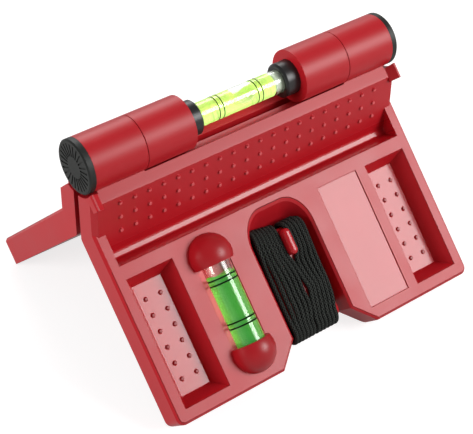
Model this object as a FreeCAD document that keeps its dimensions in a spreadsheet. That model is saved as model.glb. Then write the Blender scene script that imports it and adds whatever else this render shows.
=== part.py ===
import FreeCAD, Part
import math
import os
import Sketcher

# A folding post level: two moulded leaves on one fat hinge barrel, with a level vial in the
# barrel, one across each leaf, and an elastic cord wound on a winder in the front leaf's slot.
# +X runs along the hinge, the front leaf leans toward -Y and +Z is up.  The leaves stand as a
# tent on their free edges.  The origin is the middle of that footprint, on the table.
#
# Each leaf is drawn in its own frame: X along the hinge, Y down the leaf from the corner where
# the two inner faces would meet, Z out of its outer face, with the inner face at Z = 0.

doc = FreeCAD.newDocument("FoldingPostLevel")
sheet = doc.addObject("Spreadsheet::Sheet", "Sizes")
X_AXIS = FreeCAD.Vector(1, 0, 0)
Z_AXIS = FreeCAD.Vector(0, 0, 1)


class Size:
    """A length held as a number and as the text that the sheet works it out from."""

    def __init__(self, value, text):
        self.value = float(value)
        self.text = text

    def __add__(self, other):
        other = as_size(other)
        return Size(self.value + other.value, "(%s + %s)" % (self.text, other.text))

    def __sub__(self, other):
        other = as_size(other)
        return Size(self.value - other.value, "(%s - %s)" % (self.text, other.text))

    def __mul__(self, other):
        other = as_size(other)
        return Size(self.value * other.value, "%s * %s" % (self.text, other.text))

    def __neg__(self):
        return Size(-self.value, "(-1 * %s)" % self.text)


def as_size(amount):
    if isinstance(amount, Size):
        return amount
    return Size(amount, "(%.9g)" % amount)


sheet_row = [1]


def size(alias, value, note):
    """One driving size: a row of the sheet with its name, its number and what it is."""
    row = sheet_row[0]
    sheet.set("A%d" % row, alias)
    sheet.set("B%d" % row, "%.9g" % value)
    sheet.setAlias("B%d" % row, alias)
    sheet.set("C%d" % row, note)
    sheet_row[0] = row + 1
    return Size(value, "Sizes." + alias)


# Leaf plates
leaf_width = size("leaf_width", 188.0, "along the hinge")
leaf_length = size("leaf_length", 103.5, "inner corner to free edge")
leaf_thick = size("leaf_thick", 15.0, "inner face to outer face")
foot_round = size("foot_round", 2.0, "rounding of the free edge the leaf stands on")
plan_round = size("plan_round", 4.0, "rounding of the plate's two free corners")
corner_round = size("corner_round", 3.0, "rounding where the inner face meets the wall's back")
ledge_back = size("ledge_back", 19.5, "rear edge of the ledge, back from the inner corner")
back_bevel = size("back_bevel", 5.8, "drop of the bevel behind the ledge")
edge_bevel = size("edge_bevel", 1.3, "bevel round the outer face")
wall_gap = size("wall_gap", 4.0, "gap between the two walls' backs in the tent")
front_wall = size("front_wall", 14.6, "hinge plane to the front leaf's studded wall")
rear_wall = size("rear_wall", 16.8, "hinge plane to the rear leaf's studded wall")
wall_bevel = size("wall_bevel", 2.4, "bevel down each end of the wall")
# Hinge barrel
pivot_rise = size("pivot_rise", 28.7, "hinge axis above the inner face, and the ledges' level")
fold_gap = size("fold_gap", 0.06, "half the gap left between the ledges when folded shut")
barrel_radius = size("barrel_radius", 14.0, "knuckles and end caps")
barrel_clear = size("barrel_clear", 0.6, "air between a knuckle and the other leaf")
barrel_end_clear = size("barrel_end_clear", 1.4, "air under the barrel's ends")
knuckle_inner = size("knuckle_inner", 33.5, "middle to the inner end of the rear knuckle")
knuckle_seam = size("knuckle_seam", 61.5, "middle to the seam between knuckles")
seam_gap = size("seam_gap", 0.4, "gap at each seam")
seat_end_gap = size("seat_end_gap", 5.6, "leaf's end to where the ledge clears the barrel")
# Trough under the wall
trough_floor = size("trough_floor", 5.9, "floor of the trough above the inner face")
trough_flat = size("trough_flat", 3.7, "width of its floor")
trough_rise = size("trough_rise", 3.5, "how far its near side leans")
trough_rim = size("trough_rim", 6.0, "end rim of the trough")
trough_round = size("trough_round", 3.0, "rounding along its floor")
# Studs
stud_radius = size("stud_radius", 1.2, "foot of a grip stud")
stud_height = size("stud_height", 0.9, "height of a grip stud")
stud_taper = size("stud_taper", 25.0, "side slope in degrees")
stud_margin = size("stud_margin", 15.0, "leaf's end to the first stud along the wall")
stud_drop = size("stud_drop", 16.7, "first to last row down the wall")
stud_edge = size("stud_edge", 3.6, "ledge to the top row")
# End pockets
pocket_rim = size("pocket_rim", 6.2, "leaf's end to an end pocket")
pocket_width = size("pocket_width", 26.4, "mouth of an end pocket along the hinge")
pocket_start = size("pocket_start", 29.0, "inner corner to the pocket's upper end")
pocket_foot = size("pocket_foot", 6.8, "pocket's lower end to the free edge")
pocket_depth = size("pocket_depth", 9.5, "depth of an end pocket")
pocket_taper = size("pocket_taper", 27.0, "slope of its sides in degrees")
pocket_stud_x = size("pocket_stud_x", 8.6, "between its two columns of studs")
pocket_stud_lead = size("pocket_stud_lead", 13.0, "pocket's upper end to the first stud")
pocket_stud_foot = size("pocket_stud_foot", 12.5, "last stud to the pocket's lower end")
# Bare panel
panel_width = size("panel_width", 25.8, "along the hinge")
panel_start = size("panel_start", 28.8, "inner corner to its upper end")
panel_foot = size("panel_foot", 7.3, "its lower end to the free edge")
panel_depth = size("panel_depth", 0.5, "sunk below the outer face")
# Leaf vials
vial_aside = size("vial_aside", 2.25, "vial and panel off the middle between slot and pocket")
vial_proud = size("vial_proud", 1.85, "vial axis above the outer face")
vial_radius = size("vial_radius", 7.4, "outside of a leaf vial")
vial_wall = size("vial_wall", 1.2, "thickness of a vial's wall")
vial_start = size("vial_start", 33.0, "inner corner to the vial's plugged end")
vial_foot = size("vial_foot", 13.5, "vial's closed end to the free edge")
vial_plug = size("vial_plug", 3.0, "thickness of a vial's plug and closed end")
vial_fit = size("vial_fit", 0.05, "gap round plugs, liquid and seats")
cap_wall = size("cap_wall", 4.1, "ball of a vial cap outside the vial")
cap_upper_seat = size("cap_upper_seat", 3.1, "vial's upper end to the upper ball's centre")
cap_lower_seat = size("cap_lower_seat", 3.1, "lower ball's centre to the vial's lower end")
cap_flat = size("cap_flat", 4.4, "ball centre to its flat front")
window_side = size("window_side", 2.3, "gap beside the vial in its window")
window_end = size("window_end", 0.7, "cap's flat front to the end of the window")
saddle_side = size("saddle_side", 0.6, "gap round the vial's ends in the hollow under the caps")
window_under = size("window_under", 1.05, "gap under the vial")
# Slot, winder and cord
slot_half = size("slot_half", 18.7, "half the width of the slot")
slot_start = size("slot_start", 26.2, "inner corner to the slot's upper lip")
slot_slope = size("slot_slope", 10.8, "how far the scoop runs down to the web")
slot_round = size("slot_round", 12.5, "rounding of the slot's upper corners")
web_thick = size("web_thick", 1.8, "web behind the winder")
web_foot = size("web_foot", 17.5, "web's lower edge to the free edge")
mouth_depth = size("mouth_depth", 12.0, "length of the slot's flare to the free edge")
mouth_flare = size("mouth_flare", 12.0, "how far each side of the slot flares")
winder_side = size("winder_side", 4.4, "gap beside the winder's plate in the slot")
winder_lead = size("winder_lead", 12.6, "slot's upper lip to the plate")
winder_foot = size("winder_foot", 10.3, "plate's lower end to the free edge")
winder_thick = size("winder_thick", 8.2, "thickness of the plate")
winder_round = size("winder_round", 5.0, "rounding of the plate's corners")
winder_lip = size("winder_lip", 4.0, "rounding of the ends the cord turns over")
post_width = size("post_width", 4.8, "width of the winder's post")
post_length = size("post_length", 14.0, "length of the post down the leaf")
post_lead = size("post_lead", 7.9, "plate's upper end to the post's middle")
post_proud = size("post_proud", 6.1, "top of the post above the plate")
post_dome = size("post_dome", 2.1, "rounding of the post's top")
post_side = size("post_side", 0.4, "post off the middle of the slot")
post_fit = size("post_fit", 0.05, "gap round the post's foot in the web")
cord_thick = size("cord_thick", 2.4, "diameter of the elastic cord")
cord_side = size("cord_side", 1.6, "gap beside the winding in the slot")
cord_under = size("cord_under", 0.4, "gap between the winding and the web")
cord_air = size("cord_air", 0.3, "air between winding, winder and post")
cord_edge = size("cord_edge", 1.2, "rounding of the outermost strands")
cord_corner = size("cord_corner", 3.0, "winding's corner cut, short of the slot's corner rounding")
# Front leaf's end lugs and the rear leaf's notches for them
lug_reach = size("lug_reach", 5.2, "leaf's end to the foot of a lug's slope")
lug_height = size("lug_height", 3.7, "lug above the ledge")
lug_flat = size("lug_flat", 0.9, "flat on top of a lug")
lug_back = size("lug_back", 14.8, "inner corner back to the lug's upper end")
lug_length = size("lug_length", 9.3, "length of a lug")
lug_foot = size("lug_foot", 1.5, "how far a lug hangs below the ledge")
notch_side = size("notch_side", 0.6, "gap beside a lug in its notch")
notch_under = size("notch_under", 1.0, "gap over a lug in its notch")
# Rear leaf's hook for the cord
hook_half = size("hook_half", 13.0, "half the width of the hook's recess")
hook_lip = size("hook_lip", 41.5, "recess's upper lip to the free edge")
hook_slope = size("hook_slope", 5.0, "how far its upper side leans")
hook_floor = size("hook_floor", 6.0, "floor of the recess above the inner face")
hook_round = size("hook_round", 9.0, "rounding of the recess's upper corners")
hook_foot = size("hook_foot", 19.5, "hook to the free edge")
hook_stem = size("hook_stem", 3.2, "radius of the hook's stem")
hook_head = size("hook_head", 5.6, "radius of the hook's head")
hook_neck = size("hook_neck", 4.5, "stem between the floor and the head")
hook_crown = size("hook_crown", 2.4, "thickness of the head")
# Stops between the walls' backs
stop_middle = size("stop_middle", 46.0, "middle to the middle of a stop pad")
stop_width = size("stop_width", 20.0, "along the hinge")
stop_height = size("stop_height", 9.0, "up the wall")
stop_start = size("stop_start", 7.0, "above the inner corner")
stop_gap = size("stop_gap", 0.01, "each pad short of the hinge plane")
# Hinge pins, caps and hinge vial
pin_radius = size("pin_radius", 9.0, "outside of a hinge pin")
pin_fit = size("pin_fit", 0.06, "running gap round a pin")
pin_collar = size("pin_collar", 8.0, "collar that holds the vial, bare of the knuckle")
pin_core = size("pin_core", 5.0, "radius of a pin's hollow")
pin_short = size("pin_short", 0.3, "pin's outer end inside the knuckle's")
tube_seat = size("tube_seat", 9.0, "how deep the hinge vial sits in its socket")
tube_play = size("tube_play", 1.5, "socket beyond the vial's end")
pin_bevel = size("pin_bevel", 0.9, "bevel on the collar")
cap_thick = size("cap_thick", 3.5, "an end cap outside the knuckle")
cap_seat = size("cap_seat", 0.05, "gap between cap and knuckle")
cap_bevel = size("cap_bevel", 0.7, "bevel round the cap's face")
cap_spigot_fit = size("cap_spigot_fit", 0.05, "gap round the cap's spigot")
cap_spigot_length = size("cap_spigot_length", 12.0, "length of the spigot")
rib_count = 24
rib_inner = size("rib_inner", 5.6, "axis to the inner end of a cap's groove")
rib_outer = size("rib_outer", 12.0, "axis to its outer end")
rib_width = size("rib_width", 0.9, "width of a groove")
rib_depth = size("rib_depth", 0.45, "depth of a groove")
tube_radius = size("tube_radius", 6.1, "outside of the hinge vial")
tube_wall = size("tube_wall", 1.2, "thickness of its wall")

sheet.recompute()

ROOT_TWO = math.sqrt(2.0)
half_width = leaf_width * 0.5
back_sum = wall_gap * (ROOT_TWO / 2)
front_sum = front_wall * ROOT_TWO
rear_sum = rear_wall * ROOT_TWO
ledge_rise = pivot_rise - fold_gap
corner_height = (leaf_length - foot_round * 2) * (1 / ROOT_TWO) + foot_round
pivot_height = corner_height + pivot_rise * ROOT_TWO
knuckle_outer = half_width - cap_thick
seat_end = half_width - seat_end_gap
# Places down and across the leaves
pocket_length = leaf_length - pocket_foot - pocket_start
pocket_middle = half_width - pocket_rim - pocket_width * 0.5
panel_length = leaf_length - panel_foot - panel_start
vial_middle = (slot_half + pocket_middle - pocket_width * 0.5) * 0.5 + vial_aside
vial_rise = leaf_thick + vial_proud
vial_length = leaf_length - vial_foot - vial_start
cap_radius = vial_radius + cap_wall
cap_upper = vial_start + cap_upper_seat
cap_lower = vial_start + vial_length - cap_lower_seat
mouth_start = leaf_length - mouth_depth
# Winder and winding in the slot
winder_half = slot_half - winder_side
winder_start = slot_start + winder_lead
winder_end = leaf_length - winder_foot
winder_back = web_thick + cord_under + cord_thick + cord_air
winder_front = winder_back + winder_thick
post_middle = winder_start + post_lead
post_top = winder_front + post_proud
# Hinge vial in its two collars
pin_inner = knuckle_inner - pin_collar
tube_half = pin_inner + tube_seat
tube_bore = tube_radius - tube_wall


def bind(thing, name, amount):
    """Set one size of an object and tie it to the sheet."""
    amount = as_size(amount)
    thing.setExpression(name, amount.text)


def new_body(label):
    body = doc.addObject("PartDesign::Body", label)
    body.Label = label
    return body


def plane_of(body, role):
    for feature in body.Origin.OriginFeatures:
        if feature.Role == role:
            return feature
    raise RuntimeError("no plane " + role)


def new_sketch(body, name, role, offset=None):
    """A sketch on one of the body's own planes, moved along that plane's normal."""
    sketch = body.newObject("Sketcher::SketchObject", name)
    sketch.AttachmentSupport = (plane_of(body, role), "")
    sketch.MapMode = "FlatFace"
    if offset is not None:
        bind(sketch, "AttachmentOffset.Base.z", offset)
    return sketch


def hold(sketch, geometry, point, across, up):
    """Fix a point of the sketch by its two distances from the origin."""
    for kind, axis, amount in (("DistanceX", -2, across), ("DistanceY", -1, up)):
        amount = as_size(amount)
        if abs(amount.value) < 1e-9:
            sketch.addConstraint(Sketcher.Constraint("PointOnObject", geometry, point, axis))
            continue
        rule = Sketcher.Constraint(kind, -1, 1, geometry, point, amount.value)
        index = sketch.addConstraint(rule)
        sketch.setExpression("Constraints[%d]" % index, amount.text)


def outline(sketch, points):
    """Draw one closed outline through the points, each held to the origin."""
    first = len(sketch.Geometry)
    count = len(points)
    places = [FreeCAD.Vector(as_size(a).value, as_size(b).value, 0) for a, b in points]
    for index in range(count):
        line = Part.LineSegment(places[index], places[(index + 1) % count])
        sketch.addGeometry(line, False)
    for index in range(count):
        after = first + (index + 1) % count
        sketch.addConstraint(Sketcher.Constraint("Coincident", first + index, 2, after, 1))
    for index, (across, up) in enumerate(points):
        hold(sketch, first + index, 1, across, up)
    return sketch


def box_outline(sketch, left, right, low, high):
    return outline(sketch, [(left, low), (right, low), (right, high), (left, high)])


def round_outline(sketch, across, up, radius):
    """Draw a circle held by its centre and radius."""
    radius = as_size(radius)
    centre = FreeCAD.Vector(as_size(across).value, as_size(up).value, 0)
    ring = sketch.addGeometry(Part.Circle(centre, Z_AXIS, radius.value), False)
    hold(sketch, ring, 3, across, up)
    index = sketch.addConstraint(Sketcher.Constraint("Radius", ring, radius.value))
    sketch.setExpression("Constraints[%d]" % index, radius.text)
    return sketch


def pill_outline(sketch, across, up, width, length):
    """Draw a slot shape with its length up the sketch."""
    radius = as_size(width) * 0.5
    reach = (as_size(length) - width) * 0.5
    top = as_size(up) + reach
    low = as_size(up) - reach
    x = as_size(across).value
    r = radius.value
    upper = Part.Circle(FreeCAD.Vector(x, top.value, 0), Z_AXIS, r)
    lower = Part.Circle(FreeCAD.Vector(x, low.value, 0), Z_AXIS, r)
    first = sketch.addGeometry(Part.ArcOfCircle(upper, 0, math.pi), False)
    second = sketch.addGeometry(Part.ArcOfCircle(lower, math.pi, 2 * math.pi), False)
    left_top = FreeCAD.Vector(x - r, top.value, 0)
    left_low = FreeCAD.Vector(x - r, low.value, 0)
    right_low = FreeCAD.Vector(x + r, low.value, 0)
    right_top = FreeCAD.Vector(x + r, top.value, 0)
    left = sketch.addGeometry(Part.LineSegment(left_top, left_low), False)
    right = sketch.addGeometry(Part.LineSegment(right_low, right_top), False)
    sketch.addConstraint(Sketcher.Constraint("Tangent", first, 2, left, 1))
    sketch.addConstraint(Sketcher.Constraint("Tangent", left, 2, second, 1))
    sketch.addConstraint(Sketcher.Constraint("Tangent", second, 2, right, 1))
    sketch.addConstraint(Sketcher.Constraint("Tangent", right, 2, first, 1))
    hold(sketch, first, 3, across, top)
    hold(sketch, second, 3, across, low)
    index = sketch.addConstraint(Sketcher.Constraint("Radius", first, r))
    sketch.setExpression("Constraints[%d]" % index, radius.text)
    return sketch


def corner_outline(sketch, across, up, radius, side):
    """Draw what a rounded corner leaves away: an arc and the square corner outside it."""
    inner = as_size(across) - radius * side
    low = as_size(up) - radius
    outer = as_size(across) + 1.0 * side
    high = as_size(up) + 1.0
    centre = FreeCAD.Vector(inner.value, low.value, 0)
    ring = Part.Circle(centre, Z_AXIS, radius.value)
    start, end = (0, math.pi / 2) if side > 0 else (math.pi / 2, math.pi)
    arc = sketch.addGeometry(Part.ArcOfCircle(ring, start, end), False)
    places = [(across, low), (outer, low), (outer, high), (inner, high), (inner, up)]
    points = [FreeCAD.Vector(as_size(a).value, as_size(b).value, 0) for a, b in places]
    first = arc + 1
    for begin, finish in zip(points, points[1:]):
        sketch.addGeometry(Part.LineSegment(begin, finish), False)
    for index in range(3):
        sketch.addConstraint(Sketcher.Constraint(
            "Coincident", first + index, 2, first + index + 1, 1))
    low_end, high_end = (1, 2) if side > 0 else (2, 1)
    sketch.addConstraint(Sketcher.Constraint("Coincident", arc, low_end, first, 1))
    sketch.addConstraint(Sketcher.Constraint("Coincident", arc, high_end, first + 3, 2))
    index = sketch.addConstraint(Sketcher.Constraint("Radius", arc, radius.value))
    sketch.setExpression("Constraints[%d]" % index, radius.text)
    for index, (a, b) in enumerate(places[:-1]):
        hold(sketch, first + index, 1, a, b)
    hold(sketch, first + 3, 2, inner, up)
    return sketch


def pad(body, name, sketch, length, both=False, back=False, taper=None):
    feature = body.newObject("PartDesign::Pad", name)
    feature.Profile = sketch
    bind(feature, "Length", length)
    if both:
        feature.SideType = "Symmetric"
    feature.Reversed = back
    if taper is not None:
        bind(feature, "TaperAngle", taper)
    body.Tip = feature
    doc.recompute()
    return feature


def pocket(body, name, sketch, length, both=False, back=False, taper=None):
    """Cut a sketch into the body and make sure that it took something away."""
    before = body.Shape.Volume
    feature = body.newObject("PartDesign::Pocket", name)
    feature.Profile = sketch
    bind(feature, "Length", length)
    if both:
        feature.SideType = "Symmetric"
    feature.Reversed = back
    if taper is not None:
        bind(feature, "TaperAngle", taper)
    body.Tip = feature
    doc.recompute()
    if not body.Shape.Volume < before - 1e-3:
        raise RuntimeError("%s: %s cut nothing" % (body.Label, name))
    return feature


def edges_where(shape, test):
    """Names of the edges whose ends and middle all pass the test."""
    names = []
    for number, edge in enumerate(shape.Edges, 1):
        places = [vertex.Point for vertex in edge.Vertexes]
        places.append(edge.valueAt((edge.FirstParameter + edge.LastParameter) / 2))
        if all(test(place) for place in places):
            names.append("Edge%d" % number)
    return names


def soften(body, kind, name, test, amount):
    """Round or bevel the edges of the body's last feature that pass the test."""
    base = body.Tip
    names = edges_where(base.Shape, test)
    if not names:
        raise RuntimeError("%s: no edges for %s" % (body.Label, name))
    feature = body.newObject("PartDesign::" + kind, name)
    feature.Base = (base, names)
    bind(feature, "Radius" if kind == "Fillet" else "Size", amount)
    body.Tip = feature
    doc.recompute()
    return feature


def repeat(body, name, feature, sketch, across, count_across, up, count_up):
    """Repeat a feature in rows along the sketch's two axes."""
    grid = body.newObject("PartDesign::LinearPattern", name)
    grid.Originals = [feature]
    grid.Direction = (sketch, ["H_Axis"])
    bind(grid, "Length", across)
    grid.Occurrences = count_across
    grid.Direction2 = (sketch, ["V_Axis"])
    bind(grid, "Length2", up)
    grid.Occurrences2 = count_up
    body.Tip = grid
    doc.recompute()
    return grid


def near(a, b, reach=0.05):
    return abs(a - b) < reach


def front_place():
    """Where the front leaf's own frame sits: leaning toward -Y."""
    turn = FreeCAD.Rotation(Z_AXIS, 180).multiply(FreeCAD.Rotation(X_AXIS, -45))
    return FreeCAD.Placement(FreeCAD.Vector(0, 0, corner_height.value), turn)


def rear_place():
    """Where the rear leaf's own frame sits: leaning toward +Y."""
    turn = FreeCAD.Rotation(X_AXIS, -45)
    return FreeCAD.Placement(FreeCAD.Vector(0, 0, corner_height.value), turn)


def seat(thing, place):
    thing.Placement = place
    bind(thing, "Placement.Base.z", corner_height)


def seat_on_pivot(thing):
    thing.Placement = FreeCAD.Placement(FreeCAD.Vector(0, 0, pivot_height.value), FreeCAD.Rotation())
    bind(thing, "Placement.Base.z", pivot_height)


# ---------------------------------------------------------------- leaf features

def leaf_block(body, wall_sum):
    """Plate, studded wall and ledge as one long section."""
    sketch = new_sketch(body, body.Label + "_section", "YZ_Plane")
    outline(sketch, [
        (back_sum, 0),
        (leaf_length, 0),
        (leaf_length, leaf_thick),
        (wall_sum - leaf_thick, leaf_thick),
        (wall_sum - ledge_rise, ledge_rise),
        (back_sum - ledge_back, ledge_rise),
        (back_sum - ledge_rise + back_bevel, ledge_rise - back_bevel),
    ])
    pad(body, body.Label + "_block", sketch, leaf_width, both=True)
    foot = leaf_length.value
    thick = leaf_thick.value
    end = half_width.value
    slope = wall_sum.value
    soften(body, "Fillet", body.Label + "_foot",
           lambda p: near(p.y, foot) and near(p.z, 0), foot_round)
    soften(body, "Fillet", body.Label + "_corner",
           lambda p: near(p.y, back_sum.value) and near(p.z, 0), corner_round)
    soften(body, "Chamfer", body.Label + "_wall_ends",
           lambda p: near(abs(p.x), end) and near(p.y + p.z, slope) and p.z > thick - 0.1,
           wall_bevel)


def leaf_corners(body):
    """Round the plate's two corners at the free edge, seen from its outer face."""
    sketch = new_sketch(body, body.Label + "_corner_outlines", "XY_Plane", leaf_thick + 1.0)
    for side in (-1, 1):
        corner_outline(sketch, half_width * side, leaf_length, plan_round, side)
    pocket(body, body.Label + "_corners", sketch, leaf_thick + 2.0)


def leaf_trough(body, wall_sum):
    """Rounded channel between the wall's foot and the outer face."""
    low = wall_sum - trough_floor
    near_floor = low + trough_flat
    near_lip = near_floor + trough_rise
    above = leaf_thick + 2.0
    sketch = new_sketch(body, body.Label + "_trough_section", "YZ_Plane")
    outline(sketch, [
        (wall_sum - above, above),
        (low, trough_floor),
        (near_floor, trough_floor),
        (near_lip, leaf_thick),
        (near_lip, above),
    ])
    pocket(body, body.Label + "_trough", sketch, leaf_width - trough_rim * 2, both=True)
    floor = trough_floor.value
    soften(body, "Fillet", body.Label + "_trough_floor",
           lambda p: near(p.z, floor) and near(p.y, low.value), trough_round)


def leaf_bevels(body, wall_sum):
    """Bevel round the outer face: both ends, the free edge, and the slot's lip."""
    thick = leaf_thick.value
    end = half_width.value
    foot = leaf_length.value
    lip = wall_sum.value - thick + 1.0
    mouth_edge = (slot_half + mouth_flare).value + 0.5

    def on_rim(p):
        if not near(p.z, thick):
            return False
        if near(abs(p.x), end):
            return p.y > lip - 3.0
        if near(p.y, foot):
            return True
        return abs(p.x) < mouth_edge and p.y > slot_start.value - 0.5

    soften(body, "Chamfer", body.Label + "_bevel", on_rim, edge_bevel)


def leaf_pockets(body):
    """Two end pockets with sloping sides and two columns of studs on each floor."""
    stud_start = pocket_start + pocket_stud_lead
    stud_run = pocket_length - pocket_stud_lead - pocket_stud_foot
    for side, name in ((-1, "west"), (1, "east")):
        middle = pocket_middle * side
        sketch = new_sketch(body, "%s_%s_pocket_mouth" % (body.Label, name), "XY_Plane", leaf_thick)
        box_outline(sketch, middle - pocket_width * 0.5, middle + pocket_width * 0.5,
                    pocket_start, pocket_start + pocket_length)
        pocket(body, "%s_%s_pocket" % (body.Label, name), sketch, pocket_depth,
               taper=-pocket_taper)
        floor = leaf_thick - pocket_depth
        dots = new_sketch(body, "%s_%s_stud_foot" % (body.Label, name), "XY_Plane", floor)
        round_outline(dots, middle - pocket_stud_x * 0.5, stud_start, stud_radius)
        stud = pad(body, "%s_%s_stud" % (body.Label, name), dots, stud_height, taper=-stud_taper)
        repeat(body, "%s_%s_studs" % (body.Label, name), stud, dots,
               pocket_stud_x, 2, stud_run, 6)


def wall_studs(body, wall_sum):
    """Three rows of twenty grip studs up the wall, which leans at 45 degrees to the plate."""
    sketch = body.newObject("Sketcher::SketchObject", body.Label + "_wall_stud_foot")
    sketch.AttachmentSupport = (plane_of(body, "XY_Plane"), "")
    sketch.MapMode = "FlatFace"
    half = wall_sum * 0.5
    place = FreeCAD.Vector(0, half.value, half.value)
    sketch.AttachmentOffset = FreeCAD.Placement(place, FreeCAD.Rotation(X_AXIS, -45))
    bind(sketch, "AttachmentOffset.Base.y", half)
    bind(sketch, "AttachmentOffset.Base.z", half)
    top_row = (ledge_rise - half) * ROOT_TWO - stud_edge
    span = leaf_width - stud_margin * 2
    round_outline(sketch, span * -0.5, -top_row, stud_radius)
    stud = pad(body, body.Label + "_wall_stud", sketch, stud_height, taper=-stud_taper)
    repeat(body, body.Label + "_wall_studs", stud, sketch, span, 20, stud_drop, 3)


def front_panel(body):
    """Shallow bare panel beside the slot."""
    sketch = new_sketch(body, "front_panel_outline", "XY_Plane", leaf_thick)
    middle = -vial_middle
    box_outline(sketch, middle - panel_width * 0.5, middle + panel_width * 0.5,
                panel_start, panel_start + panel_length)
    pocket(body, "front_panel", sketch, panel_depth)


def leaf_window(body):
    """Hollow that takes the lower half of the vial, wider between the two caps."""
    depth = vial_radius - vial_proud + window_under
    window_first = cap_upper + cap_flat + window_end
    window_last = cap_lower - cap_flat - window_end
    saddle_first = vial_start - saddle_side
    saddle_last = vial_start + vial_length + saddle_side
    for name, side, first, last in (
            ("window", window_side, window_first, window_last),
            ("saddle", saddle_side, saddle_first, saddle_last)):
        sketch = new_sketch(body, "%s_%s_outline" % (body.Label, name), "XY_Plane", leaf_thick)
        half = vial_radius + side
        box_outline(sketch, vial_middle - half, vial_middle + half, first, last)
        pocket(body, "%s_%s" % (body.Label, name), sketch, depth)


def front_slot(body):
    """Cord slot: scooped upper end, thin web behind the winder, open mouth at the free edge."""
    high = leaf_thick + 1.5
    rise = leaf_thick - web_thick
    lean = slot_slope.value / rise.value
    sketch = new_sketch(body, "front_slot_section", "YZ_Plane")
    outline(sketch, [
        (slot_start - lean * 1.5, high),
        (slot_start + slot_slope, web_thick),
        (leaf_length - web_foot, web_thick),
        (leaf_length - web_foot, -2.0),
        (leaf_length + 5.0, -2.0),
        (leaf_length + 5.0, high),
    ])
    pocket(body, "front_slot", sketch, slot_half * 2, both=True)
    side = slot_half.value
    reach = (slot_start + slot_slope).value + 0.1
    soften(body, "Fillet", "front_slot_corners",
           lambda p: near(abs(p.x), side) and slot_start.value - 0.5 < p.y < reach
           and web_thick.value - 0.1 < p.z < leaf_thick.value + 0.1
           and near((p.y - slot_start.value), (leaf_thick.value - p.z) * lean, 0.2),
           slot_round)
    mouth = new_sketch(body, "front_mouth_outline", "XY_Plane", leaf_thick)
    wide = slot_half + mouth_flare * (1 + 2.0 / mouth_depth.value)
    outline(mouth, [
        (-slot_half, mouth_start),
        (slot_half, mouth_start),
        (wide, leaf_length + 2.0),
        (-wide, leaf_length + 2.0),
    ])
    pocket(body, "front_mouth", mouth, leaf_thick + 1.0)


def front_post_hole(body):
    """Hole through the web for the winder's post."""
    sketch = new_sketch(body, "front_post_hole_outline", "XY_Plane", leaf_thick)
    pill_outline(sketch, -post_side, post_middle, post_width + post_fit * 2,
                 post_length + post_fit * 2)
    pocket(body, "front_post_hole", sketch, leaf_thick + 1.0)


def front_lugs(body):
    """Sloped lug at each end of the ledge."""
    top = ledge_rise + lug_height
    low = ledge_rise - lug_foot
    lug_inner = half_width - lug_reach
    ridge = lug_inner + lug_height
    for side, name in ((-1, "west"), (1, "east")):
        sketch = new_sketch(body, "front_lug_%s_section" % name, "XZ_Plane", lug_back)
        outline(sketch, [
            (lug_inner * side, low),
            (half_width * side, low),
            (half_width * side, top - 0.7),
            ((ridge + lug_flat) * side, top),
            (ridge * side, top),
            (lug_inner * side, ledge_rise),
        ])
        pad(body, "front_lug_" + name, sketch, lug_length, back=True)


def rear_notches(body):
    """Notch at each end of the rear ledge, where the front lugs nest when folded shut."""
    deep = ledge_rise - lug_height - notch_under
    high = ledge_rise + 4.0
    inner = half_width - lug_reach - notch_side
    length = lug_reach + notch_side + 1.0
    for offset, name in ((half_width + 1.0, "east"), (-inner, "west")):
        sketch = new_sketch(body, "rear_notch_%s_section" % name, "YZ_Plane", offset)
        outline(sketch, [
            (-lug_back, deep),
            (rear_sum, deep),
            (rear_sum, high),
            (deep - high - lug_back, high),
        ])
        pocket(body, "rear_notch_" + name, sketch, length)


def rear_hook(body):
    """Open recess with a headed post that the cord hooks over."""
    high = leaf_thick + 1.5
    rise = leaf_thick - hook_floor
    lean = hook_slope.value / rise.value
    hook_start = leaf_length - hook_lip
    sketch = new_sketch(body, "rear_recess_section", "YZ_Plane")
    outline(sketch, [
        (hook_start - lean * 1.5, high),
        (hook_start + hook_slope, hook_floor),
        (leaf_length + 5.0, hook_floor),
        (leaf_length + 5.0, high),
    ])
    pocket(body, "rear_recess", sketch, hook_half * 2, both=True)
    side = hook_half.value
    soften(body, "Fillet", "rear_recess_corners",
           lambda p: near(abs(p.x), side)
           and near((p.y - hook_start.value), (leaf_thick.value - p.z) * lean, 0.2),
           hook_round)


def rear_hook_post(body):
    hook_middle = leaf_length - hook_foot
    stem = new_sketch(body, "rear_hook_stem_outline", "XY_Plane", hook_floor)
    round_outline(stem, 0, hook_middle, hook_stem)
    pad(body, "rear_hook_stem", stem, hook_neck + hook_crown * 0.5)
    head = new_sketch(body, "rear_hook_head_outline", "XY_Plane", hook_floor + hook_neck)
    round_outline(head, 0, hook_middle, hook_head)
    pad(body, "rear_hook_head", head, hook_crown, taper=-20.0)


# ---------------------------------------------------------------- barrel and hinge solids

def barrel_piece(name, radius, start, end):
    """Solid cylinder on the hinge axis between two places along it."""
    rod = doc.addObject("Part::Cylinder", name)
    bind(rod, "Radius", radius)
    bind(rod, "Height", end - start)
    turn = FreeCAD.Rotation(FreeCAD.Vector(0, 1, 0), 90)
    rod.Placement = FreeCAD.Placement(FreeCAD.Vector(0, 0, 0), turn)
    bind(rod, "Placement.Base.x", start)
    bind(rod, "Placement.Base.z", pivot_height)
    return rod


def stop_pad(name, middle, front):
    """Pad on a wall's back that meets the other leaf's pad in the tent."""
    block = doc.addObject("Part::Box", name)
    depth = wall_gap * 0.5 + 0.5 - stop_gap
    bind(block, "Length", stop_width)
    bind(block, "Width", depth)
    bind(block, "Height", stop_height)
    bind(block, "Placement.Base.x", middle - stop_width * 0.5)
    if front:
        bind(block, "Placement.Base.y", -(wall_gap * 0.5 + 0.5))
    else:
        bind(block, "Placement.Base.y", stop_gap)
    bind(block, "Placement.Base.z", corner_height + stop_start)
    return block


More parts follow.
